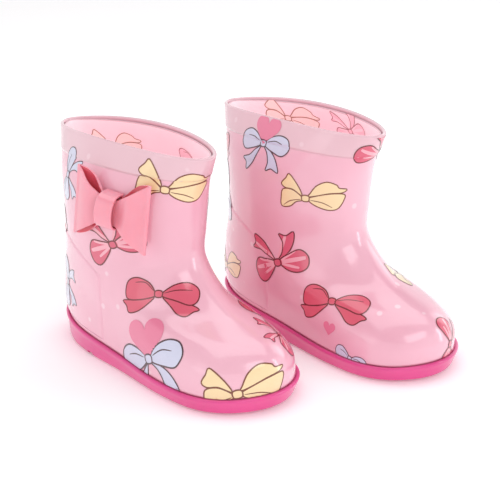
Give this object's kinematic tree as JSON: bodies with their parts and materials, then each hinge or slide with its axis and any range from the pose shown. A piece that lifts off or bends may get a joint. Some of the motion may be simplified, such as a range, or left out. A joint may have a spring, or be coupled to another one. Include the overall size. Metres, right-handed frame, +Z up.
{
  "type": "pair of toddler rain boots with bows",
  "caption": "Toddler's short PVC rain boots with a printed upper, moulded sole, pull-out insole and riveted side bow.",
  "frame": {"origin": "centre of the pair's footprint on the floor", "axes": "+Z up; the toes point to -Y; the wearer's left is +X"},
  "size_m": [0.1816, 0.2069, 0.1285],
  "materials": {
    "upper_pvc": "clear soft PVC over a pale pink film, high gloss",
    "printed_film": "pale pink film with small bows in yellow, blue, red and striped pink",
    "sole_pvc": "magenta moulded PVC, satin to gloss",
    "bow_pvc": "salmon pink soft PVC, satin gloss",
    "insole_foam": "open foam",
    "insole_cloth": "brushed knitted cloth, pale pink",
    "rivet_plastic": "snap rivet in bow colour"
  },
  "bodies": {
    "right_boot": {"right_outsole": "sole_pvc", "right_shell": "upper_pvc", "right_printed_sock": "printed_film", "right_topline_band": "upper_pvc", "right_heel_counter": "upper_pvc", "right_bow_rivet": "rivet_plastic", "right_bow_rivet_washer": "rivet_plastic"},
    "right_insole": {"right_insole_foam": "insole_foam", "right_insole_cloth": "insole_cloth"},
    "right_bow": {"right_bow_loops": "bow_pvc", "right_bow_knot": "bow_pvc"},
    "left_boot": {"left_outsole": "sole_pvc", "left_shell": "upper_pvc", "left_printed_sock": "printed_film", "left_topline_band": "upper_pvc", "left_heel_counter": "upper_pvc", "left_bow_rivet": "rivet_plastic", "left_bow_rivet_washer": "rivet_plastic"},
    "left_insole": {"left_insole_foam": "insole_foam", "left_insole_cloth": "insole_cloth"},
    "left_bow": {"left_bow_loops": "bow_pvc", "left_bow_knot": "bow_pvc"}
  },
  "joints": [
    {"name": "left_boot_lift", "type": "slide", "parent": "right_boot", "child": "left_boot", "axis": [0, 0, 1], "range_m": [0, 0.2]},
    {"name": "right_insole_lift", "type": "hinge", "parent": "right_boot", "child": "right_insole", "pos_m": [-0.047, -0.05955, 0.01212], "axis": [1, 0, 0], "range_deg": [0, 10]},
    {"name": "left_insole_lift", "type": "hinge", "parent": "left_boot", "child": "left_insole", "pos_m": [0.047, -0.09455, 0.01212], "axis": [1, 0, 0], "range_deg": [0, 10]},
    {"name": "right_bow_swivel", "type": "hinge", "parent": "right_boot", "child": "right_bow", "pos_m": [-0.07656, 0.02593, 0.09607], "axis": [-0.962, -0.2718, 0.0272], "range_deg": [-10, 10]},
    {"name": "left_bow_swivel", "type": "hinge", "parent": "left_boot", "child": "left_bow", "pos_m": [0.07918, 0.01014, 0.09633], "axis": [0.998, -0.0024, 0.0636], "range_deg": [-10, 10]}
  ]
}
